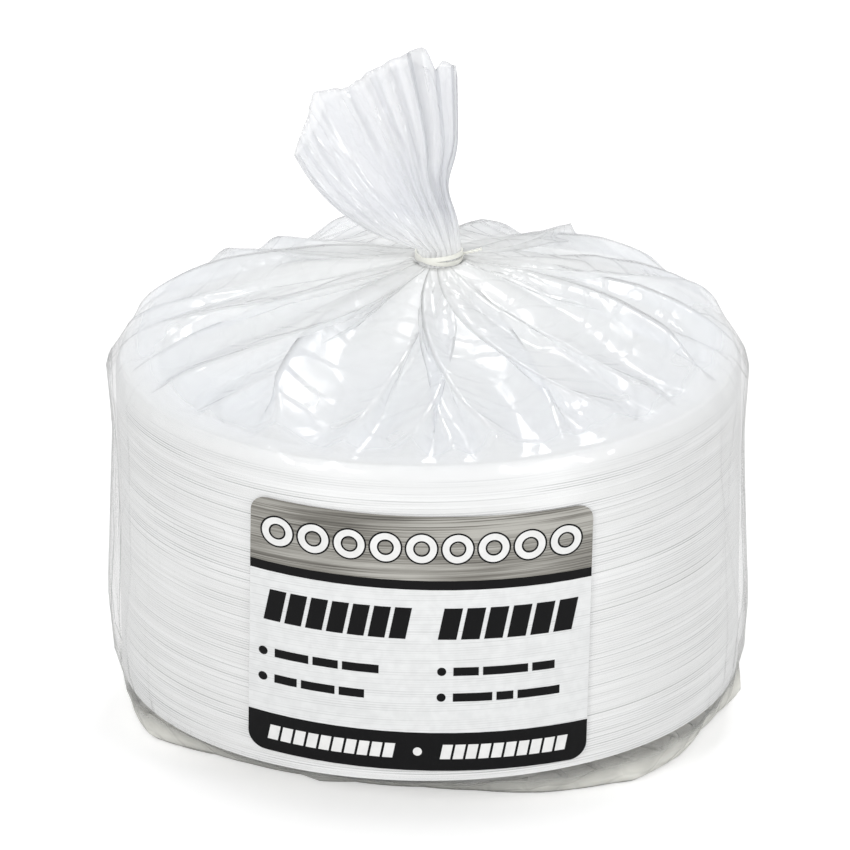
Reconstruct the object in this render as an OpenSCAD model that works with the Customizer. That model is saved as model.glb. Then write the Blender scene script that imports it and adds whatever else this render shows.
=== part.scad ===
// A pack of round disposable plates, nested right way up in a clear film bag.
// The bag is gathered over the stack, tied at the neck and left open above the tie.
// Millimetres, +Z up, origin on the floor under the axis of the stack; -Y is the printed front.

/* [Plates] */
// Number of plates in the stack
plate_count = 125; // [25:5:150]
// Plates kept together in one node
plates_per_node = 5; // [1:1:5]
// Outer diameter of a plate, over its lip
plate_d = 228.6; // [200:0.2:260]
// Depth of a plate, from its foot to the top of its rim
plate_depth = 23; // [20:0.5:26]
// Wall thickness of a plate
plate_wall = 0.26; // [0.2:0.01:0.3]
// Slope of the turned-down lip from the horizontal; the lips are where plates seat on each other
lip_slope = 72.5; // [70:0.5:74]
// Height of the turned-down lip
lip_h = 5.3; // [4:0.1:6]
// Width of the rim, from the top of the lip in to the step
rim_w = 14; // [10:0.5:16]
// Rise of the rim from its inner edge to the top of the lip
rim_rise = 2.2; // [1:0.1:3]
// Height of the step at the inner edge of the rim
step_h = 1.6; // [1:0.1:2]
// Outer radius of the ring that the plate stands on
foot_r = 80.5; // [76:0.5:84]
// Width of that ring
foot_w = 3.5; // [2:0.5:5]
// Height of the well's floor above the ring
well_rise = 0.8; // [0.4:0.1:1.2]
// Play between two nested plates, measured upright
nest_gap = 0.065; // [0.02:0.005:0.1]

/* [Bag] */
// Thickness of the film as modelled
film_t = 0.3; // [0.2:0.05:0.4]
// Play between the rims of the plates and the film
film_gap = 0.4; // [0.3:0.05:0.6]
// Most that the loose film stands off the stack at the sides
film_slack = 4.4; // [0:0.2:5]
// Height of the tie's middle above the top plate
neck_rise = 37; // [34:1:44]
// Outer radius of the gathered neck under the tie
neck_r = 8; // [7:0.5:9]
// Offset of the neck to the right of the axis
neck_x = 4; // [0:0.5:8]
// Height of the tallest gather that runs from the neck to the rim
gather_h = 9.4; // [0:0.2:10]
// Depth of the hollows between the gathers
hollow_h = 1.8; // [0:0.1:2]
// Length of the loose mouth above the tie
mouth_len = 74; // [60:1:90]
// Half depth of the loose mouth at its open end
mouth_depth = 11; // [8:1:15]
// How far the mouth's right edge is drawn in, a third of the way up
mouth_waist = 4; // [0:0.5:5]
// Height of the pleats in the loose mouth
pleat_h = 3; // [0:0.5:4]

/* [Tie] */
// Width of the tie's ribbon
tie_w = 1.6; // [1.2:0.1:2]
// Thickness of the ribbon
tie_t = 0.5; // [0.4:0.1:0.7]
// Tilt of the two turns that cross at the front
tie_tilt = 6; // [3:1:8]
// Length of the twisted ends
tie_tail = 7; // [5:1:12]

/* [Print] */
// Width of the printed panel, seen from the front
print_w = 121; // [96:1:126]
// Height of the printed panel
print_h = 98; // [90:0.5:102]
// Offset of the panel to the left of the axis
print_x = 4.9; // [0:0.1:6]
// Height of the panel's lower edge above the floor
print_z = 22.5; // [21:0.5:25]
// Lean of the panel, turned down to the right
print_tilt = 1.4; // [0:0.1:2]
// Height of the grey band at the top
grey_h = 24.5; // [18:0.5:26]
// Height of the black rule under it
rule_h = 3.5; // [2:0.1:4]
// Height of the black band at the foot
band_h = 14.8; // [10:0.2:16]
// Thickness of a layer of ink as modelled
ink_t = 0.08; // [0.05:0.01:0.12]
// Radius of the panel's corners
print_corner = 6; // [2:0.5:8]

/* [Hidden] */
// Steps round an exact circle, and points round the bag
$fn = 96;
film_n = 84;

// Stack

pitch = plate_wall / cos(lip_slope) + nest_gap;
plate_r = plate_d / 2;
stack_z = film_t + 0.05;
top_z = stack_z + plate_depth + (plate_count - 1) * pitch;

function pad3(n) = str(n < 100 ? "0" : "", n < 10 ? "0" : "", n);
function node_first(i) = i * plates_per_node + 1;
function node_last(i) = min((i + 1) * plates_per_node, plate_count);
function plate_node(i) = str("plates_", pad3(node_first(i)), "_", pad3(node_last(i)));
function plate_nodes() = [for (i = [0 : ceil(plate_count / plates_per_node) - 1]) plate_node(i)];

// Outlines

// Unit vector from a to b
function along(a, b) = (b - a) / norm(b - a);
// Points of a path whose corners, given as [x, y, radius], are rounded by chords of about 25 degrees
function rounded(path) = [for (i = [0 : len(path) - 1])
    let (p = [path[i][0], path[i][1]], r = path[i][2])
    if (r == 0) p
    else let (
        u = along(p, [path[i - 1][0], path[i - 1][1]]),
        v = along(p, [path[i + 1][0], path[i + 1][1]]),
        half = acos(u * v) / 2,
        centre = p + along([0, 0], u + v) * r / sin(half),
        start = p + u * r / tan(half) - centre,
        turn = sign(u[1] * v[0] - u[0] * v[1]) * (180 - 2 * half),
        steps = max(1, round(abs(turn) / 25)))
        for (k = [0 : steps]) let (t = turn * k / steps)
            centre + [start[0] * cos(t) - start[1] * sin(t), start[0] * sin(t) + start[1] * cos(t)]];
// The path moved sideways by d, to its left for a positive d
function offset_path(path, d) = [for (i = [0 : len(path) - 1])
    let (a = along(path[max(i - 1, 0)], path[max(i, 1)]),
         b = along(path[min(i, len(path) - 2)], path[min(i + 1, len(path) - 1)]),
         m = along([0, 0], a + b))
    path[i] + [-m[1], m[0]] * d / (m * a)];
function reversed(list) = [for (i = [len(list) - 1 : -1 : 0]) list[i]];

// Plate

// Middle line of the wall, from the axis out to the lip's edge: [radius, height, corner radius]
lip_r = plate_r - plate_wall / 2 * sin(lip_slope);
mid_top = plate_depth - plate_wall / 2;
shoulder_r = lip_r - (lip_h - plate_wall / 2) / tan(lip_slope);
rim_r = shoulder_r - rim_w;
plate_line = [
    [0, well_rise + plate_wall / 2, 0],
    [foot_r - foot_w - well_rise, well_rise + plate_wall / 2, 0],
    [foot_r - foot_w, plate_wall / 2, 0],
    [foot_r, plate_wall / 2, 4],
    [rim_r - step_h / 2, mid_top - rim_rise - step_h, 0],
    [rim_r, mid_top - rim_rise, 0],
    [shoulder_r, mid_top, 1.1],
    [lip_r, plate_depth - lip_h, 0]];

module plate() {
    line = rounded(plate_line);
    rotate_extrude() polygon(concat(offset_path(line, -plate_wall / 2),
        reversed(offset_path(line, plate_wall / 2))));
}

module plates(i) {
    color("white") for (k = [node_first(i) : node_last(i)])
        translate([0, 0, stack_z + (k - 1) * pitch]) plate();
}

// Bag

wall_r = plate_r + film_gap + film_t;
rim_z = stack_z + plate_depth - lip_h;
wall_top = top_z - lip_h;
neck_z = top_z + neck_rise;
// How far the film's crease stands out where it meets the floor: [azimuth, radius less the foot's]
foot_out = [[0, 35], [15, 30], [45, 27], [70, 31], [90, 26], [115, 31], [140, 27], [160, 32], [180, 31],
    [200, 29], [208, 21], [214, 15], [223, 10], [236, 5], [242, 6.5], [250, 2], [268, 2], [281, 6.5],
    [295, 16], [309, 23], [314, 27], [327, 27], [340, 25], [349, 27.5], [360, 35]];
// Share of the slack that each side takes: none at the print, most on the left
slack_share = [[0, 0.7], [30, 0.8], [60, 0.4], [90, 0.7], [120, 0.5], [150, 0.8], [180, 1], [205, 0.6],
    [225, 0], [312, 0], [330, 0.5], [345, 0.8], [360, 0.7]];
// How the slack varies up the wall, from the lowest lip to the top one
slack_up = [[0, 0.5], [0.12, 0.7], [0.24, 1], [0.4, 0.75], [0.6, 0.5], [0.8, 0.25], [0.93, 0.5], [1, 0.65]];
// How much the dome is blown up on each side: least at the front, where the gathers are pulled tight
puff = [[0, 0.9], [90, 1], [180, 0.9], [230, 0.3], [270, 0], [310, 0.3], [360, 0.9]];
// Gathers: [point round the bag where each dies out, share of gather_h, lean, half width in degrees]
gathers = [[43, 0.8, 0.45, 12], [46, 0.47, -0.35, 7], [49, 0.93, 0.55, 11], [52, 0.47, 0.4, 7],
    [56, 0.93, -0.6, 13], [59, 0.53, 0.4, 7], [62, 0.8, 0.45, 9], [64, 0.53, -0.4, 7], [66, 0.93, -0.55, 10],
    [69, 0.47, 0.4, 7], [72, 0.8, -0.6, 12], [75, 0.53, -0.45, 7], [78, 1, 0.6, 11], [81, 0.47, -0.4, 6],
    [83, 0.73, 0.5, 9], [4, 0.87, -0.45, 11], [6, 0.47, 0.4, 6], [9, 0.73, 0.55, 12], [12, 0.53, -0.4, 7],
    [14, 0.93, -0.5, 11], [17, 0.53, 0.45, 7], [21, 0.87, 0.55, 12], [23, 0.53, -0.4, 7], [26, 0.93, -0.6, 11],
    [29, 0.53, 0.4, 7], [32, 0.8, 0.5, 12], [35, 0.53, -0.45, 7], [38, 0.87, -0.55, 11], [40, 0.47, 0.4, 6]];
// Length of the mouth along its fan, from the left edge to the right one, as a share of mouth_len
fan_len = [[-1, 0.84], [-0.8, 0.86], [-0.55, 0.9], [-0.37, 0.97], [-0.05, 0.92], [0.13, 0.95], [0.55, 0.98],
    [0.7, 0.95], [0.78, 0.9], [0.84, 0.94], [0.97, 0.93], [1, 0.87]];
fan_lean = -25; // direction of the fan's middle from upright, to the left
fan_half = 31; // half the angle that it opens to
fan_sag = 26; // how much lower its left edge starts than it ends
neck_bore = 1; // radius of the passage left in the gathered neck
mouth_base = 3; // height above the tie's middle at which the mouth starts to spread

// A point at azimuth a, radius r and height z, with the bag's centre moved to the right by x
function polar(a, r, z, x = 0) = [x + r * cos(a), r * sin(a), z];
// Part of a gather at azimuth a and a share q out from the neck: 1 on its ridge, 0 past its foot
function gather_width(g, q) = g[3] * (0.3 + 0.9 * pow(1 - q, 0.6));
function gather_part(g, a, q) =
    max(0, 1 - abs((a - 360 * g[0] / film_n + 540) % 360 - 180) / gather_width(g, q));
function sum(list) = list * [for (x = list) 1];
// Height of the gathers, and the angle by which they lean to one side
function gather_rise(a, q) = gather_h * sin(180 * pow(1 - q, 0.55))
    * sum([for (g = gathers) g[1] * pow(gather_part(g, a, q), 1.15)]);
function gather_lean(a, q) = min(0.75, 4 * (1 - q), 2.2 * q)
    * sum([for (g = gathers) g[2] * gather_width(g, q) * gather_part(g, a, q)]);
// Points of each stretch of the film: at azimuth a and a share q of the way along it, drawn in by "in"
function floor_point(a, q, in) = polar(a, (foot_r + lookup(a, foot_out) - 2) * q, in);
function skirt(a, q, in) = let (foot = foot_r + lookup(a, foot_out))
    polar(a, foot + (wall_r - foot) * q - in, 1.6 + (rim_z - 1.6) * q);
function wall_point(a, q, in) = polar(a,
    wall_r - in + film_slack * lookup(a, slack_share) * lookup(q, slack_up), rim_z + (wall_top - rim_z) * q);
// From the rim, where q is 1, to the neck
function dome(a, q, in) = let (
    r = neck_r + (wall_r - 2.2 - neck_r) * q,
    tight = pow(1 - q, 1.2),
    rise = (neck_rise - 2) * (tight + lookup(a, puff) * (pow(1 - q, 0.65) - tight)),
    wave = gather_rise(a, q) - hollow_h * sin(180 * pow(q, 0.8)))
    polar(a + gather_lean(a, q), r - in * 0.5, top_z + 0.8 + rise + wave - in, neck_x * (1 - q));
// From the neck up the loose mouth, which opens to a fan
function mouth(a, q, in) = let (
    u = cos(a), v = sin(a),
    beta = fan_lean + fan_half * u - fan_sag * (1 - q) * max(0, -u),
    far = mouth_len * lookup(u, fan_len) * q,
    r = neck_r * (1 - q) - in,
    depth = mouth_depth * q * (0.6 + 0.4 * q),
    waist = mouth_waist * max(0, u) * exp(-pow((q - 0.35) / 0.17, 2)),
    wave = pleat_h * q * cos(11 * a + 40 * v))
    [neck_x + r * u + far * sin(beta) - waist, (r + depth) * v + wave * sign(v) * v * v,
     neck_z + mouth_base + far * cos(beta)];

// Stations from the floor to the mouth: [stretch, share, wall thickness]; the film is bunched at the neck
stations = concat(
    [for (q = [0.5, 1]) [0, q, film_t]],
    [for (q = [0, 0.5, 1]) [1, q, film_t]],
    [for (q = [0.12, 0.24, 0.4, 0.6, 0.8, 0.93, 1]) [2, q, film_t]],
    [for (q = [1, 0.93, 0.84, 0.73, 0.6, 0.47, 0.35, 0.24, 0.15]) [3, q, film_t]],
    [[3, 0.08, neck_r * 0.7]],
    [for (z = [-4, -0.5, mouth_base]) [4, z, neck_r - neck_bore]],
    [[5, 0.1, neck_r - neck_bore - 1]],
    [for (q = [0.22, 0.38, 0.55, 0.72, 0.87, 1]) [5, q, film_t]]);

function ring(s, inside) = let (in = inside ? s[2] : 0)
    [for (i = [0 : film_n - 1]) let (a = 360 * i / film_n)
        s[0] == 0 ? floor_point(a, s[1], in)
        : s[0] == 1 ? skirt(a, s[1], in)
        : s[0] == 2 ? wall_point(a, s[1], in)
        : s[0] == 3 ? dome(a, s[1], in)
        : s[0] == 4 ? polar(a, neck_r - in, neck_z + s[1], neck_x)
        : mouth(a, s[1], in)];

// Closed solid through a list of rings of n points each, with a point at either end. The squares between
// the rings are halved one way up to the ring "outer" and the other way past it, so that the inside of a
// film, whose rings come back in reverse, folds along the same lines as its outside
module sweep(first, rings, last, outer = undef) {
    n = len(rings[0]);
    ends = 1 + n * len(rings);
    polyhedron(
        points = concat([first], [for (r = rings) each r], [last]),
        faces = concat(
            [for (i = [0 : n - 1]) [0, 1 + i, 1 + (i + 1) % n]],
            [for (k = [0 : len(rings) - 2], i = [0 : n - 1]) let (
                a = 1 + k * n + i, b = 1 + k * n + (i + 1) % n)
                each is_undef(outer) || k < outer ? [[a, a + n, b], [b, a + n, b + n]]
                    : [[a, a + n, b + n], [a, b + n, b]]],
            [for (i = [0 : n - 1]) [ends, ends - n + (i + 1) % n, ends - n + i]]));
}

module bag_film() {
    color([0.86, 0.89, 0.91, 0.5]) sweep([0, 0, 0],
        concat([for (s = stations) ring(s, false)], [for (s = reversed(stations)) ring(s, true)]),
        [0, 0, film_t], outer = len(stations));
}

// Tie

tie_r = neck_r + 0.3;

twist_turns = 2;
twist_rise = 15; // how far the twisted ends point above the horizontal
strand_r = tie_t * 0.75;

// Point of the twisted ends at a share q of their length, at an angle round the strand on one side
function strand(side, q, turn) = let (t = 360 * twist_turns * q + (side > 0 ? 180 : 0))
    [0.7 * strand_r * cos(t) + strand_r * cos(turn), 0.7 * strand_r * sin(t) + strand_r * sin(turn), tie_tail * q];

// Two turns of ribbon that cross at the front and the back, and the twisted ends at the right
module neck_tie() {
    color("whitesmoke") translate([neck_x, 0, neck_z]) {
        for (side = [-1, 1]) rotate([side * tie_tilt, side * tie_tilt, 0]) difference() {
            cylinder(r = tie_r + tie_t, h = tie_w, center = true);
            cylinder(r = tie_r, h = 3 * tie_w, center = true);
        }
        translate([tie_r + tie_t, 0, 0]) rotate([0, 90 - twist_rise, 0])
            for (side = [-1, 1]) sweep(strand(side, 0, 0) - [strand_r, 0, 0],
                [for (k = [0 : 16]) [for (j = [0 : 7]) strand(side, k / 16, 45 * j)]],
                strand(side, 1, 0) - [strand_r, 0, 0]);
    }
}

// Print

print_r = wall_r + 0.02;

// A prism with the same sides as the bag's wall
module sleeve(r, z0, z1) translate([0, 0, z0]) linear_extrude(height = z1 - z0)
    polygon([for (i = [0 : film_n - 1]) let (a = 360 * i / film_n) [r * cos(a), r * sin(a)]]);

// The part of a thin sleeve round the bag that a shape covers, drawn as seen from the front;
// layer 0 is next to the film
module printed(layer) {
    intersection() {
        difference() {
            sleeve(print_r + (layer + 1) * ink_t, 0, top_z);
            sleeve(print_r + layer * ink_t, -1, top_z + 1);
        }
        translate([-print_x, 0, print_z]) rotate([90, print_tilt, 0])
            linear_extrude(height = 2 * plate_r) children();
    }
}

// A bar with square ends, from x0 to x1, with its lower edge at y
module bar(x0, x1, y, h) translate([x0, y]) square([x1 - x0, h]);

// Slanted strokes side by side from x0 to x1, with their lower ends at y
module strokes(x0, x1, y, h, count) {
    step = (x1 - x0) / count;
    for (k = [0 : count - 1]) translate([x0 + k * step, y])
        polygon([[0, 0], [step * 0.8, 0], [step * 0.8 + h * 0.18, h], [h * 0.18, h]]);
}

// Short dashes in a row from x0, with their lower edge at y
module dashes(x0, y, h, lengths, gap) {
    for (k = [0 : len(lengths) - 1]) {
        x = x0 + k * gap + [for (s = 0, j = 0; j <= k; s = s + lengths[j], j = j + 1) s][k];
        bar(x, x + lengths[k], y, h);
    }
}

// The panel's outline between two heights above its lower edge, with its four corners rounded
module panel(y0, y1) {
    intersection() {
        union() {
            bar(-print_w / 2 + print_corner, print_w / 2 - print_corner, 0, print_h);
            bar(-print_w / 2, print_w / 2, print_corner, print_h - 2 * print_corner);
            for (x = [-1, 1], y = [print_corner, print_h - print_corner])
                translate([x * (print_w / 2 - print_corner), y]) circle(r = print_corner);
        }
        bar(-print_w / 2, print_w / 2, y0, y1 - y0);
    }
}

rule_y = print_h - grey_h - rule_h;

module print_white_panel() color("whitesmoke") printed(0) panel(band_h, rule_y);
module print_grey_band() color("darkgray") printed(0) panel(print_h - grey_h, print_h);
module print_black_fields() color([0.13, 0.13, 0.13]) printed(0) {
    panel(rule_y, print_h - grey_h);
    panel(0, band_h);
}

// Plain marks where the print has its words: a row of plates in the grey band, strokes and dashes below
icon_count = 9;
icon_r = 6;
icon_line = 0.6; // width of the dark lines round an icon's rim
icon_rim = 3; // width of the rim between them
margin = 5;
icon_step = (print_w - 2 * icon_r - 1.4 * margin) / (icon_count - 1);
icon_y = print_h - grey_h / 2;
word_gap = 2 * margin; // between the two groups of strokes
word_end = -print_w * 0.03; // right end of the left group
title_h = 12;
title_gap = 7; // under the rule
title_y = rule_y - title_gap - title_h;
dash_h = 3.2;
dash_gap = 1.5;
row_step = 10;
row_y = [for (k = [1, 2]) title_y - 0.4 * row_step - row_step * k];
column_x = [-print_w / 2 + margin, 1.6 * margin];
dash_len = 10; // mean length of a dash
row_dashes = dash_len * [[[1.2, 0.9, 1.3], [0.8, 1.2, 0.9]], [[0.9, 1.6, 0.8], [1.4, 0.6, 1.5]]];
bullet_r = 1.6;
label_h = 5.6;
label_y = (band_h - label_h) / 2;

module icons(r0, r1) for (k = [0 : icon_count - 1])
    translate([(k - (icon_count - 1) / 2) * icon_step, icon_y]) difference() {
        circle(r = r1);
        circle(r = r0);
    }

module print_dark_marks() color([0.16, 0.16, 0.17]) printed(1) {
    icons(icon_r - icon_line, icon_r);
    icons(icon_r - icon_rim - icon_line, icon_r - icon_rim);
    strokes(-print_w / 2 + margin, word_end, title_y, title_h, 7);
    strokes(word_end + word_gap, print_w / 2 - margin, title_y, title_h, 6);
    for (c = [0, 1], k = [0, 1]) {
        translate([column_x[c], row_y[k] + dash_h / 2]) circle(r = bullet_r);
        dashes(column_x[c] + 2.6 * bullet_r, row_y[k], dash_h, row_dashes[c][k], dash_gap);
    }
}

module print_white_marks() color("white") printed(1) {
    icons(icon_r - icon_rim, icon_r - icon_line);
    translate([0, band_h / 2]) circle(r = bullet_r);
    strokes(-print_w / 2 + 1.4 * margin, -1.6 * margin, label_y, label_h, 10);
    strokes(1.6 * margin, print_w / 2 - 1.4 * margin, label_y, label_h, 10);
}

for (i = [0 : len(plate_nodes()) - 1]) plates(i);
bag_film();
neck_tie();
print_white_panel();
print_grey_band();
print_black_fields();
print_dark_marks();
print_white_marks();
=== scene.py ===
import math

import bmesh
import bpy
from mathutils import Matrix, Vector, noise

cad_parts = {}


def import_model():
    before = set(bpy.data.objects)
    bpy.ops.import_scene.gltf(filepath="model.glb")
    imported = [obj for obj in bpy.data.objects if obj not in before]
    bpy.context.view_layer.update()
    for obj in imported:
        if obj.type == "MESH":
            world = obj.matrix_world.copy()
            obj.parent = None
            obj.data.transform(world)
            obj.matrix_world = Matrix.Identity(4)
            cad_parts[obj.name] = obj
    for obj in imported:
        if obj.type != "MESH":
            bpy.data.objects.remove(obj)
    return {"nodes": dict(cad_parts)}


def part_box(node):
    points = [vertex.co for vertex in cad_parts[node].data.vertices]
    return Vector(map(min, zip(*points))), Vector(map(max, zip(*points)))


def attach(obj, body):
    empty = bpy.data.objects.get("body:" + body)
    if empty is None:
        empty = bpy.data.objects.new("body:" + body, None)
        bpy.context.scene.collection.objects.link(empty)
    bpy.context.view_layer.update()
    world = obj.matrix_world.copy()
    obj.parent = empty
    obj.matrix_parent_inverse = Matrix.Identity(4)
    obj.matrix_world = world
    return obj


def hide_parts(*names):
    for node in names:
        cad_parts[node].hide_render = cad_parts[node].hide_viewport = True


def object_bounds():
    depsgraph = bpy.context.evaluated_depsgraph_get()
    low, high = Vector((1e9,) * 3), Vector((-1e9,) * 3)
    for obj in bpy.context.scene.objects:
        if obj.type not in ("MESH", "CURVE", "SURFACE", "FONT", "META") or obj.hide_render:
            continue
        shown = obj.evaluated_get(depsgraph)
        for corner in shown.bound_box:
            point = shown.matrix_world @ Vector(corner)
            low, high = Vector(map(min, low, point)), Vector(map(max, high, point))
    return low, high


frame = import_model()
cad_low, cad_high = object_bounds()

# Sizes in metres, angles in degrees. The stack and the neck are read from the frame.
MM = 0.001
PLATE_COUNT, PLATES_PER_NODE = 125, 5
top_plates_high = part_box("plates_121_125")[1]
tie_low, tie_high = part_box("neck_tie")
plate_r, top_z = top_plates_high.x, top_plates_high.z
neck_z = (tie_low.z + tie_high.z) / 2
neck_x = 4 * MM
neck_r = 8 * MM
film_t = 0.24 * MM
film_gap = 0.12 * MM
wall_r = plate_r + film_gap + film_t
foot_r = 80.5 * MM
lip_h = 5.3 * MM
low_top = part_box("plates_001_005")[1].z
pitch = (top_z - low_top) / (PLATE_COUNT - PLATES_PER_NODE)
rim_z = low_top - (PLATES_PER_NODE - 1) * pitch - lip_h  # the lowest lip's edge
wall_top = top_z - lip_h
shoulder_r = plate_r - 1.7 * MM  # inside this the plates' edges are out of sight
FLOOR_GAP = 1.6 * MM  # height of the film's crease at the floor
FLOOR_INSET, FLOOR_FOLD, FOLD_ONSET = 2 * MM, 4.2 * MM, 7 * MM
SKIRT_FOLD, WALL_RIPPLE = 3 * MM, 1 * MM
DOME_INSET, DOME_GAP = 1.4 * MM, 0.6 * MM
FLUTE_DEPTH, FLUTE_COUNT, NECK_INSET = 1.8 * MM, 11, 0.3 * MM
NECK_BELOW, NECK_ABOVE = -4 * MM, 3 * MM  # the bunched film's ends, from the tie's middle
MOUTH_LENGTH, MOUTH_DEPTH = 74 * MM, 8 * MM
MOUTH_NOTCH, MOUTH_WAIST = 8 * MM, 4 * MM
FAN_LEAN, FAN_HALF, FAN_SAG = -25, 31, 26
PRINT_CENTRE, PRINT_HALF, PRINT_SPREAD = 268, 34, 14
slack = 4.4 * MM


# Curves that the film follows round the pack

# How far the film's crease stands out where it meets the floor: (azimuth, mm beyond the plates' foot)
FOOT_OUT = [(0, 35), (15, 30), (45, 27), (70, 31), (90, 26), (115, 31), (140, 27), (160, 32),
            (180, 31), (200, 29), (208, 21), (214, 15), (223, 10), (236, 5), (242, 6.5), (250, 2),
            (268, 2), (281, 6.5), (295, 16), (309, 23), (314, 27), (327, 27), (340, 25),
            (349, 27.5), (360, 35)]
# Share of the slack on each side, and how it varies from the lowest lip to the top one
SLACK_SIDE = [(0, 0.7), (30, 0.8), (60, 0.4), (90, 0.7), (120, 0.5), (150, 0.8), (180, 1), (205, 0.6),
              (225, 0), (312, 0), (330, 0.5), (345, 0.8), (360, 0.7)]
SLACK_UP = [(0, 0.5), (0.12, 0.7), (0.24, 1), (0.4, 0.75), (0.6, 0.5), (0.8, 0.25), (0.93, 0.5),
            (1, 0.65)]
# How much the dome is blown up on each side
PUFF = [(0, 0.9), (90, 1), (180, 0.9), (230, 0.3), (270, 0), (310, 0.3), (360, 0.9)]
# Length of the mouth along its fan, from the left edge to the right one
FAN_LENGTH = [(-1, 0.84), (-0.8, 0.86), (-0.55, 0.9), (-0.37, 0.97), (-0.05, 0.92), (0.13, 0.95),
              (0.55, 0.98), (0.7, 0.95), (0.78, 0.88), (0.84, 0.94), (0.97, 0.93), (1, 0.87)]


def lookup(x, table):
    """Value of a table of (x, y) pairs at x, straight between the pairs."""
    for (x0, y0), (x1, y1) in zip(table, table[1:]):
        if x <= x1:
            return y0 + (y1 - y0) * max(0.0, x - x0) / (x1 - x0)
    return table[-1][1]


def smooth(t):
    t = min(max(t, 0.0), 1.0)
    return t * t * (3 - 2 * t)


def cosd(a):
    return math.cos(math.radians(a))


def sind(a):
    return math.sin(math.radians(a))


def ridged(point, scale):
    """Sharp-crested noise from 0 in the hollows to 1 on the crests."""
    return 1 - abs(noise.noise(Vector(point) * scale))


# Film bag

# Gathers: (azimuth where they die out at the rim, height in mm, lean to one side, half width in degrees)
GATHERS = [(184.3, 6, 0.9, 12), (197.1, 3.5, -0.7, 7), (210, 7, 1.1, 11), (222.9, 3.5, 0.8, 7),
           (240, 7, -1.2, 13), (252.9, 4, 0.8, 7), (265.7, 6, 0.9, 9), (274.3, 4, -0.8, 7),
           (282.9, 7, -1.1, 10), (295.7, 3.5, 0.8, 7), (308.6, 6, -1.2, 12), (321.4, 4, -0.9, 7),
           (334.3, 7.5, 1.2, 11), (347.1, 3.5, -0.8, 6), (355.7, 5.5, 1, 9), (17.1, 6.5, -0.9, 11),
           (25.7, 3.5, 0.8, 6), (38.6, 5.5, 1.1, 12), (51.4, 4, -0.8, 7), (60, 7, -1, 11),
           (72.9, 4, 0.9, 7), (90, 6.5, 1.1, 12), (98.6, 4, -0.8, 7), (111.4, 7, -1.2, 11),
           (124.3, 4, 0.8, 7), (137.1, 6, 1, 12), (150, 4, -0.9, 7), (162.9, 6.5, -1.1, 11),
           (171.4, 3.5, 0.8, 6)]
COLUMNS = 420
SKIRT_ROWS, WALL_ROWS, DOME_ROWS, NECK_ROWS, MOUTH_ROWS, FLOOR_ROWS = 8, 14, 50, 6, 28, 9


def gathered(a, q):
    """Height in mm and turn in degrees that the gathers give the film, at azimuth a and share q."""
    height = turn = 0.0
    span = math.sin(math.pi * min(1.0, max(0.0, 1 - q)) ** 0.55)
    for centre, tall, lean, half in GATHERS:
        width = half * (0.3 + 0.9 * (1 - q) ** 0.6)
        t = ((a - centre + 180) % 360 - 180) / width
        if abs(t) < 1:
            height += 1.25 * tall * span * (1 - abs(t)) ** 1.15
            turn += lean * width * (1 - abs(t)) * (0.35 + 2.1 * (1 - q)) * smooth(4 * (1 - q))
    return height, turn


def polar(a, r, z, x=0.0):
    return Vector((x + r * cosd(a), r * sind(a), z))


def printed_side(a):
    """1 where the print lies flat on the plates, 0 away from it."""
    away = abs((a - PRINT_CENTRE + 180) % 360 - 180)
    return 1 - smooth((away - PRINT_HALF) / PRINT_SPREAD)


def floor_point(a, q):
    """The bag's bottom: flat under the plates' foot, in upright folds in the free space outside it."""
    r = (foot_r + lookup(a, FOOT_OUT) * MM - FLOOR_INSET) * q
    out = smooth((r - foot_r - 1 * MM) / FOLD_ONSET) * smooth(30 * (1 - q))
    fold = abs(sind(22 * a + 70 * sind(2 * a)))
    return polar(a + 2.5 * out * sind(44 * a + 140 * sind(2 * a)), r, FLOOR_FOLD * fold * out)


def skirt_point(a, q):
    """From the crease at the floor up to the lowest lip."""
    foot = foot_r + lookup(a, FOOT_OUT) * MM
    fold = SKIRT_FOLD * math.sin(math.pi * q) * (ridged((4 * cosd(a), 4 * sind(a), 0.4 * q), 2.2) - 0.8)
    return polar(a, foot + (wall_r - foot) * q + fold, FLOOR_GAP + (rim_z - FLOOR_GAP) * q)


def wall_point(a, q):
    """Up the plates' lips: close to them behind the print, slack at the sides and the back."""
    loose = slack * lookup(a, SLACK_SIDE) * lookup(q, SLACK_UP)
    ripple = WALL_RIPPLE * (ridged((3.2 * cosd(a), 3.2 * sind(a), 0.5 * q), 2.5) - 0.75)
    r = wall_r + max(0.0, loose + ripple * (1 - printed_side(a)))
    return polar(a, r, rim_z + (wall_top - rim_z) * q)


def dome_point(a, q):
    """The gathered film over the stack, from the neck (q = 0) to the wall (q = 1)."""
    height, turn = gathered(a, q)
    r = neck_r + (wall_r - DOME_INSET - neck_r) * q
    tight = (1 - q) ** 1.2
    rise = (neck_z - top_z - 2 * MM) * (tight + lookup(a, PUFF) * ((1 - q) ** 0.65 - tight))
    small = ridged((5 * cosd(a), 5 * sind(a), 3 * q), 1.3) - 0.8
    fine = abs(sind(27 * a + 40 * sind(3 * a))) - 0.6
    lift = (height - 1.8 * math.sin(math.pi * q ** 0.8) + 1.6 * small * math.sin(math.pi * q)
            + 2.4 * fine * math.sin(math.pi * min(1.0, q / 0.6)) ** 2) * MM
    return polar(a + turn, r, top_z + DOME_GAP + rise + lift, neck_x * (1 - q))


def flute(a):
    """How far the bunched film stands in or out, round the neck."""
    return FLUTE_DEPTH * (abs(sind(FLUTE_COUNT * a + 25 * sind(3 * a))) - 0.9)


def neck_point(a, z):
    """The bunched film inside the tie, z above the tie's middle."""
    return polar(a, neck_r - NECK_INSET + flute(a), neck_z + z, neck_x)


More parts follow.
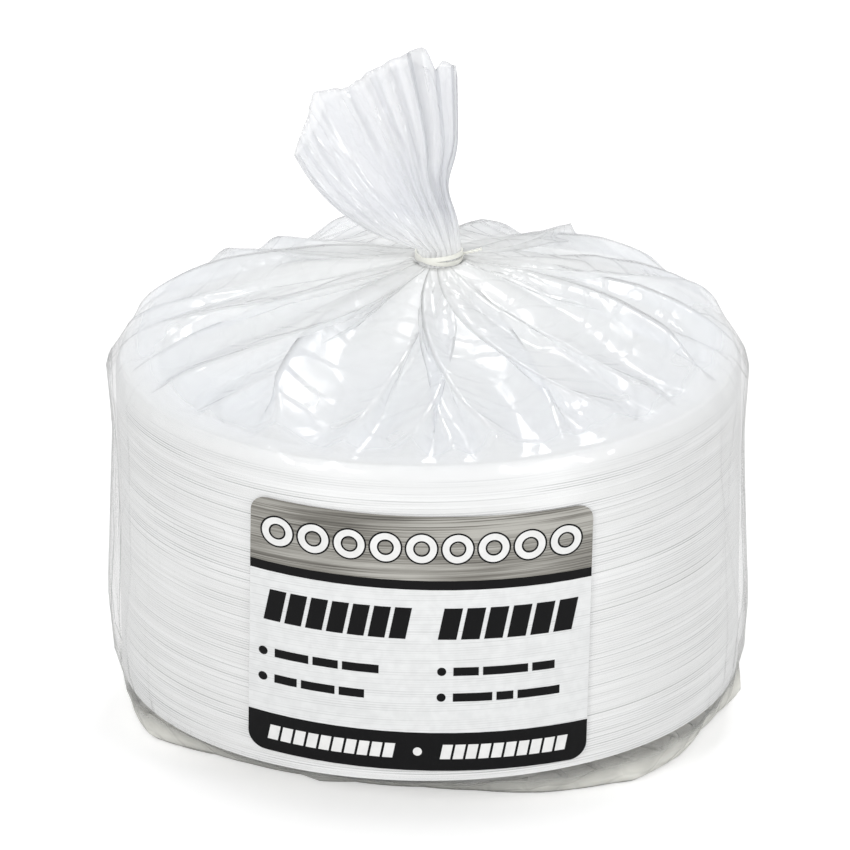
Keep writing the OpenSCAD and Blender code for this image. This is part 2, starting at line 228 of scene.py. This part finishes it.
# Sharp creases up the front of the mouth: (place from -1 left to 1 right, height in mm)
CREASES = [(-0.72, 1.4), (-0.42, 1.8), (-0.12, 1.3), (0.1, 2.6), (0.3, 1.6)]
CREASE_HALF = 0.06


def mouth_point(a, q):
    """The loose mouth: smooth and lightly creased in front, in tight pleats behind and at the right."""
    front = sind(a) < 0
    tight = 0.04 + 0.96 * smooth((cosd(a) - 0.45) / 0.2) if front else 0.9
    phase = FLUTE_COUNT * a + 60 * sind(a) + 35 * sind(5 * a)
    a += 6.5 * tight * smooth(3 * q) * sind(2 * phase)
    u, v = cosd(a), sind(a)
    beta = FAN_LEAN + FAN_HALF * u - FAN_SAG * (1 - q) * max(0.0, -u)
    far = MOUTH_LENGTH * lookup(u, FAN_LENGTH) * q * (1 - 0.06 * v)
    r = (neck_r - NECK_INSET) * (1 - q) + flute(a) * (1 - q) ** 4
    depth = MOUTH_DEPTH * q * (0.6 + 0.4 * q)
    uneven = 0.5 + 0.5 * smooth((u + 0.5) / 0.9)
    fold = 2 * abs(sind(phase)) - 1.2
    small = ridged((4 * u, 3 * (v > 0), 1.1 * q), 1.6) - 0.75
    pleat = 4.6 * uneven * tight * fold + 3.5 * small
    if front:
        pleat += 2.2 * math.sin(5.6 * u + 1) + sum(h * max(0.0, 1 - abs(u - at) / CREASE_HALF)
                                                     for at, h in CREASES)
    pleat *= MM * q ** 0.7 * (1 if v > 0 else -1) * abs(v) ** 1.5
    notch = MOUTH_NOTCH * q * q * math.exp(-((u - 0.68) / 0.1) ** 2) * (1 if front else 0)
    waist = MOUTH_WAIST * max(0.0, u) * math.exp(-((q - 0.35) / 0.17) ** 2)
    return Vector((neck_x + r * u + far * sind(beta) - waist, (r + depth) * v + pleat + notch,
                   neck_z + NECK_ABOVE + far * cosd(beta)))


# Share of milky film: at the floor, the skirt's foot and its top, on the wall, dome, neck and mouth
FLOOR_HAZE, SKIRT_HAZE, RIM_HAZE = 1.1, 1.3, 0.04
WALL_HAZE, DOME_HAZE, NECK_HAZE, MOUTH_HAZE = 0.03, 0.1, 0.9, 0.24


def front_haze(a):
    """How much milkier the mouth's front is than its back."""
    return 1.0 + 1.1 * smooth(0.5 - 1.5 * sind(a))


def shares(first, last, count):
    return [first + (last - first) * k / count for k in range(count + 1)]


def film_stations():
    """Rows of the film from the middle of the floor to the open mouth: (function, share, haze).
    The haze grows with the number of layers that the film is gathered into."""
    rows = [(floor_point, q, FLOOR_HAZE) for q in (0, 0.35, *shares(0.7, 1, FLOOR_ROWS - 2))]
    rows += [(skirt_point, q, SKIRT_HAZE + (RIM_HAZE - SKIRT_HAZE) * smooth(1.2 * q))
             for q in shares(0, 1, SKIRT_ROWS)]
    rows += [(wall_point, q, WALL_HAZE + 0.05 * q ** 12) for q in shares(0, 1, WALL_ROWS)[1:]]
    rows += [(dome_point, q, DOME_HAZE + 0.3 * smooth(10 * (1 - q)) + 0.5 * (1 - q) ** 2)
             for q in shares(1, 0, DOME_ROWS)[:-1]]
    rows += [(neck_point, z, NECK_HAZE) for z in shares(NECK_BELOW, NECK_ABOVE, NECK_ROWS)]
    rows += [(mouth_point, q, MOUTH_HAZE + 0.55 * (1 - q) ** 3)
             for q in shares(0, 1, MOUTH_ROWS)[1:]]
    return rows


def new_piece(name, bm, material):
    mesh = bpy.data.meshes.new(name)
    bm.to_mesh(mesh)
    bm.free()
    for face in mesh.polygons:
        face.use_smooth = True
    piece = bpy.data.objects.new(name, mesh)
    bpy.context.scene.collection.objects.link(piece)
    mesh.materials.append(material)
    return piece


def film_bag(material):
    """The whole film as one sheet: a grid closed round the pack, from the floor's middle to the mouth."""
    stations = film_stations()
    bm = bmesh.new()
    uv = bm.loops.layers.uv.new("film")
    haze = bm.verts.layers.float.new("haze")
    bmesh.ops.create_grid(bm, x_segments=COLUMNS, y_segments=len(stations) - 1, size=0.5)
    for face in bm.faces:
        for loop in face.loops:
            loop[uv].uv = (loop.vert.co.x + 0.5, loop.vert.co.y + 0.5)
    for vert in bm.verts:
        a = (vert.co.x + 0.5) * 360
        row = round((vert.co.y + 0.5) * (len(stations) - 1))
        place, share, thick = stations[row]
        vert[haze] = min(1.0, thick * front_haze(a)) if place is mouth_point else thick
        vert.co = place(a % 360, share)
    bmesh.ops.remove_doubles(bm, verts=bm.verts, dist=1e-6)
    bmesh.ops.recalc_face_normals(bm, faces=bm.faces)
    piece = new_piece("film_bag", bm, material)
    wall = piece.modifiers.new("film thickness", "SOLIDIFY")
    wall.thickness = film_t
    wall.offset = -1  # inwards
    return piece


# Materials

def node_material(name):
    material = bpy.data.materials.new(name)
    material.use_nodes = True
    nodes, links = material.node_tree.nodes, material.node_tree.links
    return material, nodes, links, nodes["Principled BSDF"]


def noise_node(nodes, links, vector, scale, detail, rough=0.5, dimensions="3D"):
    node = nodes.new("ShaderNodeTexNoise")
    node.noise_dimensions = dimensions
    node.inputs["Scale"].default_value = scale
    node.inputs["Detail"].default_value = detail
    node.inputs["Roughness"].default_value = rough
    links.new(vector, node.inputs["Vector"])
    return node.outputs["Fac"]


def mapped(nodes, links, vector, scale):
    node = nodes.new("ShaderNodeMapping")
    node.inputs["Scale"].default_value = scale
    links.new(vector, node.inputs["Vector"])
    return node.outputs["Vector"]


def ramp(nodes, links, value, stops):
    node = nodes.new("ShaderNodeValToRGB")
    while len(node.color_ramp.elements) < len(stops):
        node.color_ramp.elements.new(0.5)
    for element, (place, colour) in zip(node.color_ramp.elements, stops):
        element.position = place
        element.color = (*colour, 1)
    links.new(value, node.inputs["Fac"])
    return node.outputs["Color"]


def math_node(nodes, links, operation, *values):
    node = nodes.new("ShaderNodeMath")
    node.operation = operation
    for socket, value in zip(node.inputs, values):
        if isinstance(value, (int, float)):
            socket.default_value = value
        else:
            links.new(value, socket)
    return node.outputs[0]


def bump(nodes, links, height, strength, distance):
    node = nodes.new("ShaderNodeBump")
    node.inputs["Strength"].default_value = strength
    node.inputs["Distance"].default_value = distance
    links.new(height, node.inputs["Height"])
    return node.outputs["Normal"]


def mix_shader(nodes, links, share, first, second):
    node = nodes.new("ShaderNodeMixShader")
    for socket, value in zip(node.inputs, (share, first, second)):
        links.new(value, socket)
    return node.outputs[0]


def node_group(name, inputs, outputs):
    """An empty shader node group: its tree, its nodes and links, and its input and output nodes."""
    tree = bpy.data.node_groups.new(name, "ShaderNodeTree")
    for label, kind in inputs:
        tree.interface.new_socket(label, in_out="INPUT", socket_type=kind)
    for label, kind in outputs:
        tree.interface.new_socket(label, in_out="OUTPUT", socket_type=kind)
    start, end = tree.nodes.new("NodeGroupInput"), tree.nodes.new("NodeGroupOutput")
    return tree, tree.nodes, tree.links, start, end


def placed_group(nodes, links, tree, **values):
    """The group in a material, with the values and links given for its inputs by name."""
    node = nodes.new("ShaderNodeGroup")
    node.node_tree = tree
    for label, value in values.items():
        socket = node.inputs[label]
        if hasattr(value, "node"):
            links.new(value, socket)
        else:
            socket.default_value = value
    return node.outputs


def map_range(nodes, links, value, low, high):
    """From 0 at low to 1 at high, smoothly."""
    node = nodes.new("ShaderNodeMapRange")
    node.interpolation_type = "SMOOTHSTEP"
    node.inputs["From Min"].default_value, node.inputs["From Max"].default_value = low, high
    links.new(value, node.inputs["Value"])
    return node.outputs["Result"]


def mixed_colour(nodes, links, share, first, second):
    node = nodes.new("ShaderNodeMix")
    node.data_type = "RGBA"
    links.new(share, node.inputs["Factor"])
    for socket, value in ((node.inputs[6], first), (node.inputs[7], second)):
        if hasattr(value, "node"):
            links.new(value, socket)
        else:
            socket.default_value = (*value, 1)
    return node.outputs[2]


# Patches per metre in which a plate's painted shade line is strong, and how far they differ from plate to
# plate
SHADE_LINE_PATCHES, PLATE_STEP = 14, 0.61


def plate_shade_and_tone_group():
    """The thin dark line of painted shade under each plate's lip, stronger at some plates and places than
    at others.
    """
    tree, nodes, links, start, end = node_group(
        "plate shade lines and tone", [("Place", "NodeSocketVector")],
        [("Line", "NodeSocketFloat"), ("Tone", "NodeSocketFloat")])
    place = start.outputs["Place"]
    apart = nodes.new("ShaderNodeSeparateXYZ")
    links.new(place, apart.inputs[0])
    level = math_node(nodes, links, "MULTIPLY_ADD", apart.outputs["Z"], 1 / pitch, -rim_z / pitch)
    plate = math_node(nodes, links, "FLOOR", level)
    # painted shade: a dark band just under the next plate's lip
    under = map_range(nodes, links, math_node(nodes, links, "FRACT", level), 0.55, 0.8)
    each = nodes.new("ShaderNodeTexWhiteNoise")
    each.noise_dimensions = "1D"
    links.new(plate, each.inputs["W"])
    spot = nodes.new("ShaderNodeCombineXYZ")
    for axis in "XY":
        along = math_node(nodes, links, "MULTIPLY", apart.outputs[axis], SHADE_LINE_PATCHES)
        links.new(along, spot.inputs[axis])
    links.new(math_node(nodes, links, "MULTIPLY", plate, PLATE_STEP), spot.inputs["Z"])
    uneven = map_range(nodes, links, noise_node(nodes, links, spot.outputs[0], 1.0, 2), 0.35, 0.68)
    of_plate = math_node(nodes, links, "MULTIPLY_ADD", each.outputs["Value"], 0.7, 0.3)
    strength = math_node(nodes, links, "MULTIPLY", of_plate, uneven)
    flat = nodes.new("ShaderNodeVectorMath")
    flat.operation = "MULTIPLY"
    flat.inputs[1].default_value = (1, 1, 0)
    links.new(place, flat.inputs[0])
    radius = nodes.new("ShaderNodeVectorMath")
    radius.operation = "LENGTH"
    links.new(flat.outputs["Vector"], radius.inputs[0])
    on_lip = math_node(nodes, links, "GREATER_THAN", radius.outputs["Value"], shoulder_r)
    below = math_node(nodes, links, "LESS_THAN", apart.outputs["Z"], wall_top)
    seen = math_node(nodes, links, "MULTIPLY", on_lip, below)
    line = math_node(nodes, links, "MULTIPLY", under, strength)
    links.new(math_node(nodes, links, "MULTIPLY", line, seen), end.inputs["Line"])
    links.new(math_node(nodes, links, "MULTIPLY", each.outputs["Value"], seen), end.inputs["Tone"])
    return tree


def grain_group():
    """Fine mottling that darkens a colour a little in places."""
    tree, nodes, links, start, end = node_group(
        "grain",
        [("Place", "NodeSocketVector"), ("Colour", "NodeSocketColor"), ("Dark", "NodeSocketColor")],
        [("Colour", "NodeSocketColor")])
    mottle = map_range(nodes, links, noise_node(nodes, links, start.outputs["Place"], 260, 2), 0.3, 0.7)
    mottled = mixed_colour(nodes, links, mottle, start.outputs["Dark"], start.outputs["Colour"])
    links.new(mottled, end.inputs["Colour"])
    return tree


plate_shade_and_tone = plate_shade_and_tone_group()
grain = grain_group()


def plate_plastic():
    """White moulded plastic with a thin dark line of painted shade where each plate's lip meets the next.
    """
    material, nodes, links, shader = node_material("plate white plastic")
    place = nodes.new("ShaderNodeTexCoord").outputs["Object"]
    edges = placed_group(nodes, links, plate_shade_and_tone, Place=place)
    tone = mixed_colour(nodes, links, edges["Tone"], (0.80, 0.805, 0.80), (0.87, 0.875, 0.875))
    # the dark colour is painted shade under each plate's lip
    shade_lined = mixed_colour(nodes, links, edges["Line"], tone, (0.36, 0.37, 0.37))
    links.new(shade_lined, shader.inputs["Base Color"])
    rough = math_node(nodes, links, "MULTIPLY_ADD", edges["Tone"], 0.14, 0.34)
    links.new(rough, shader.inputs["Roughness"])
    return material


# Share of light that milky film lets through, from the skirt's height up; the mirror's share face on
# and what it gains at a slant; and the number of folds and creases round and along the film
MILKY_THROUGH, SKIRT_LOW, SKIRT_HIGH = 0.55, 15 * MM, 40 * MM
MIRROR_FACE_ON, MIRROR_SLANT, FILM_ROUGH = 0.04, 0.45, 0.13
FOLD_CELLS, CREASE_CELLS = (27, 10, 1), (52, 22, 1)


def film_plastic():
    """Clear film: glossy, finely creased, with a haze that thickens where the film is bunched."""
    material, nodes, links, shader = node_material("clear film")
    place = nodes.new("ShaderNodeTexCoord")
    height = nodes.new("ShaderNodeSeparateXYZ")
    links.new(place.outputs["Object"], height.inputs[0])
    # Colour by height. The beige grey at the skirt is painted shade of the plates' undersides seen
    # through the film; the darker colour towards the mouth is partly painted shade of the bunched film,
    # partly its many layers.
    tint_and_shade = ramp(nodes, links, math_node(nodes, links, "MULTIPLY", height.outputs["Z"], 1 / cad_high.z),
                [(0.03, (0.87, 0.865, 0.81)), (0.09, (0.91, 0.91, 0.89)), (0.5, (0.925, 0.93, 0.94)),
                 (0.56, (0.91, 0.93, 0.97)), (0.7, (0.95, 0.955, 0.95)), (0.78, (0.815, 0.825, 0.85))])
    links.new(tint_and_shade, shader.inputs["Base Color"])
    shader.inputs["Roughness"].default_value = 0.5
    shader.inputs["Specular IOR Level"].default_value = 0.0
    along = mapped(nodes, links, place.outputs["UV"], FOLD_CELLS)
    fold = noise_node(nodes, links, along, 1.0, 2, 0.6, "2D")
    crease = nodes.new("ShaderNodeTexVoronoi")
    crease.voronoi_dimensions = "2D"
    crease.feature = "DISTANCE_TO_EDGE"
    crease.inputs["Scale"].default_value = 1.0
    links.new(mapped(nodes, links, place.outputs["UV"], CREASE_CELLS), crease.inputs["Vector"])
    sharp = math_node(nodes, links, "MINIMUM", crease.outputs["Distance"], 0.12)
    relief = math_node(nodes, links, "MULTIPLY_ADD", sharp, 2.5, fold)
    normal = bump(nodes, links, relief, 0.4, 2 * MM)
    links.new(normal, shader.inputs["Normal"])
    through = nodes.new("ShaderNodeBsdfTranslucent")
    links.new(tint_and_shade, through.inputs["Color"])
    links.new(normal, through.inputs["Normal"])
    above = map_range(nodes, links, height.outputs["Z"], SKIRT_LOW, SKIRT_HIGH)
    let_through = math_node(nodes, links, "MULTIPLY", above, MILKY_THROUGH)
    milky = mix_shader(nodes, links, let_through, shader.outputs[0], through.outputs[0])
    clear = nodes.new("ShaderNodeBsdfTransparent")
    layers = nodes.new("ShaderNodeAttribute")
    layers.attribute_name = "haze"
    streaks = math_node(nodes, links, "MULTIPLY_ADD", fold, 0.9, 0.35)
    haze = math_node(nodes, links, "MULTIPLY", layers.outputs["Fac"], streaks)
    hazy = mix_shader(nodes, links, haze, clear.outputs[0], milky)
    gloss = nodes.new("ShaderNodeBsdfGlossy")
    gloss.inputs["Roughness"].default_value = FILM_ROUGH
    links.new(normal, gloss.inputs["Normal"])
    slant = nodes.new("ShaderNodeLayerWeight")
    slant.inputs["Blend"].default_value = 0.5
    links.new(normal, slant.inputs["Normal"])
    grazing = math_node(nodes, links, "POWER", slant.outputs["Facing"], 5)
    mirrored = math_node(nodes, links, "MULTIPLY_ADD", grazing, MIRROR_SLANT, MIRROR_FACE_ON)
    whole = mix_shader(nodes, links, mirrored, hazy, gloss.outputs[0])
    links.new(whole, nodes["Material Output"].inputs["Surface"])
    return material


def ink(name, colour, roughness, shade_lines_through=0.0, specular=0.5):
    """Printed ink. The painted shade lines of the plates behind show through where it is thin."""
    material, nodes, links, shader = node_material(name)
    place = nodes.new("ShaderNodeTexCoord").outputs["Object"]
    mottled = placed_group(nodes, links, grain, Place=place, Colour=(*colour, 1),
                           Dark=(*(0.93 * c for c in colour), 1))["Colour"]
    if shade_lines_through:
        # painted shade: the plates' dark lines under each lip, darkening the ink
        line = placed_group(nodes, links, plate_shade_and_tone, Place=place)["Line"]
        share = math_node(nodes, links, "MULTIPLY", line, shade_lines_through)
        mottled = mixed_colour(nodes, links, share, mottled, tuple(0.5 * c for c in colour))
    links.new(mottled, shader.inputs["Base Color"])
    shader.inputs["Roughness"].default_value = roughness
    shader.inputs["Specular IOR Level"].default_value = specular
    return material


def brushed_ink():
    """Thin grey ink with level streaks, which the plates' painted shade lines show through."""
    material, nodes, links, shader = node_material("brushed grey ink")
    place = nodes.new("ShaderNodeTexCoord").outputs["Object"]
    edges = placed_group(nodes, links, plate_shade_and_tone, Place=place)
    streaks = noise_node(nodes, links, mapped(nodes, links, place, (14, 14, 1100)), 1.0, 4, 0.65)
    broad = noise_node(nodes, links, mapped(nodes, links, place, (16, 16, 60)), 1.0, 2)
    fine = math_node(nodes, links, "MULTIPLY", streaks, 0.6)
    mix = math_node(nodes, links, "MULTIPLY_ADD", broad, 0.5, fine)
    # darker along the painted shade lines under the plates' lips
    mix = math_node(nodes, links, "MULTIPLY_ADD", edges["Line"], -0.22, mix)
    tone = ramp(nodes, links, mix, [(0.33, (0.06, 0.056, 0.048)), (0.5, (0.165, 0.157, 0.137)),
                                    (0.68, (0.45, 0.44, 0.405))])
    links.new(tone, shader.inputs["Base Color"])
    shader.inputs["Roughness"].default_value = 0.35
    return material


PRINT_BLACK = (0.006, 0.006, 0.0065)
plate_material = plate_plastic()
looks = {
    "print_white_panel": ink("white ink", (0.78, 0.79, 0.79), 0.35, 0.5),
    "print_grey_band": brushed_ink(),
    "print_black_fields": ink("black ink", PRINT_BLACK, 0.3, specular=0.12),
    "print_dark_marks": ink("dark marks ink", PRINT_BLACK, 0.3, specular=0.12),
    "print_white_marks": ink("white marks ink", (0.82, 0.82, 0.81), 0.35),
    "neck_tie": ink("pale ribbon", (0.84, 0.84, 0.78), 0.3)}

for name, node in frame["nodes"].items():
    look = plate_material if name.startswith("plates_") else looks.get(name)
    if look:
        node.data.materials.clear()
        node.data.materials.append(look)

film = film_bag(film_plastic())
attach(film, "root")
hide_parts("bag_film")
film.visible_shadow = False  # clear film lets the light through to the plates


# Floor, backdrop, lights and camera

FLOOR_GLOW = 0.37  # what the camera sees added to the floor's lit white
FLOOR_HALF, FLOOR_DROP = 9.0, 0.2 * MM  # just under the film


def floor():
    bm = bmesh.new()
    bmesh.ops.create_grid(bm, x_segments=1, y_segments=1, size=FLOOR_HALF)
    material, nodes, links, shader = node_material("white floor")
    shader.inputs["Base Color"].default_value = (0.86, 0.86, 0.86, 1)
    shader.inputs["Roughness"].default_value = 0.9
    shader.inputs["Specular IOR Level"].default_value = 0.0
    seen = nodes.new("ShaderNodeLightPath").outputs["Is Camera Ray"]
    shader.inputs["Emission Color"].default_value = (1, 1, 1, 1)
    links.new(math_node(nodes, links, "MULTIPLY", seen, FLOOR_GLOW), shader.inputs["Emission Strength"])
    piece = new_piece("floor", bm, material)
    piece.location.z = -FLOOR_DROP


SKY_LIGHT = 0.65  # strength of the white world as light; the camera and mirrors see it at 1


def world():
    made = bpy.data.worlds.new("studio")
    made.use_nodes = True
    nodes, links = made.node_tree.nodes, made.node_tree.links
    path = nodes.new("ShaderNodeLightPath")
    camera_ray, glossy_ray = path.outputs["Is Camera Ray"], path.outputs["Is Glossy Ray"]
    seen = math_node(nodes, links, "MAXIMUM", camera_ray, glossy_ray)
    seen = math_node(nodes, links, "MAXIMUM", seen, path.outputs["Is Transmission Ray"])
    strength = math_node(nodes, links, "MULTIPLY_ADD", seen, 1 - SKY_LIGHT, SKY_LIGHT)
    links.new(strength, nodes["Background"].inputs["Strength"])
    nodes["Background"].inputs["Color"].default_value = (1, 1, 1, 1)
    bpy.context.scene.world = made


def softbox(name, place, target, size, power):
    """A small bright lamp, in metres and watts, for the crisp glints on the film."""
    lamp = bpy.data.lights.new(name, "AREA")
    lamp.shape = "RECTANGLE"
    lamp.size, lamp.size_y = size
    lamp.energy = power
    holder = bpy.data.objects.new(name, lamp)
    bpy.context.scene.collection.objects.link(holder)
    holder.location = place
    holder.rotation_euler = (Vector(target) - Vector(place)).to_track_quat("-Z", "Y").to_euler()


def camera():
    target = Vector((-1.4, 0, 108.5)) * MM
    elevation, distance, roll, focal_mm = 22.1, 2.5, -0.3, 288.64
    back = Vector((0, -cosd(elevation), sind(elevation)))
    lens = bpy.data.cameras.new("camera")
    lens.sensor_width = 36
    lens.lens = focal_mm
    lens.clip_start, lens.clip_end = 0.1, 50
    holder = bpy.data.objects.new("camera", lens)
    bpy.context.scene.collection.objects.link(holder)
    turn = (-back).to_track_quat("-Z", "Y").to_matrix() @ Matrix.Rotation(math.radians(roll), 3, "Z")
    holder.matrix_world = Matrix.Translation(target + back * distance) @ turn.to_4x4()
    bpy.context.scene.camera = holder


floor()
world()
for lamp in (("key", (-1.2, -1.7, 1.1), (0, 0, 0.1), (0.6, 0.5), 16),
             ("fill", (1.5, -1.6, 0.7), (0, 0, 0.1), (0.5, 0.4), 12),
             ("top", (0.3, 0.9, 1.5), (0, 0, 0.12), (0.5, 0.3), 6)):
    softbox(*lamp)
camera()
bpy.context.scene.view_settings.view_transform = "Standard"
light = bpy.context.scene.cycles  # few bounces are enough for a white pack on a white floor
light.max_bounces, light.diffuse_bounces, light.glossy_bounces, light.transmission_bounces = 4, 2, 2, 2
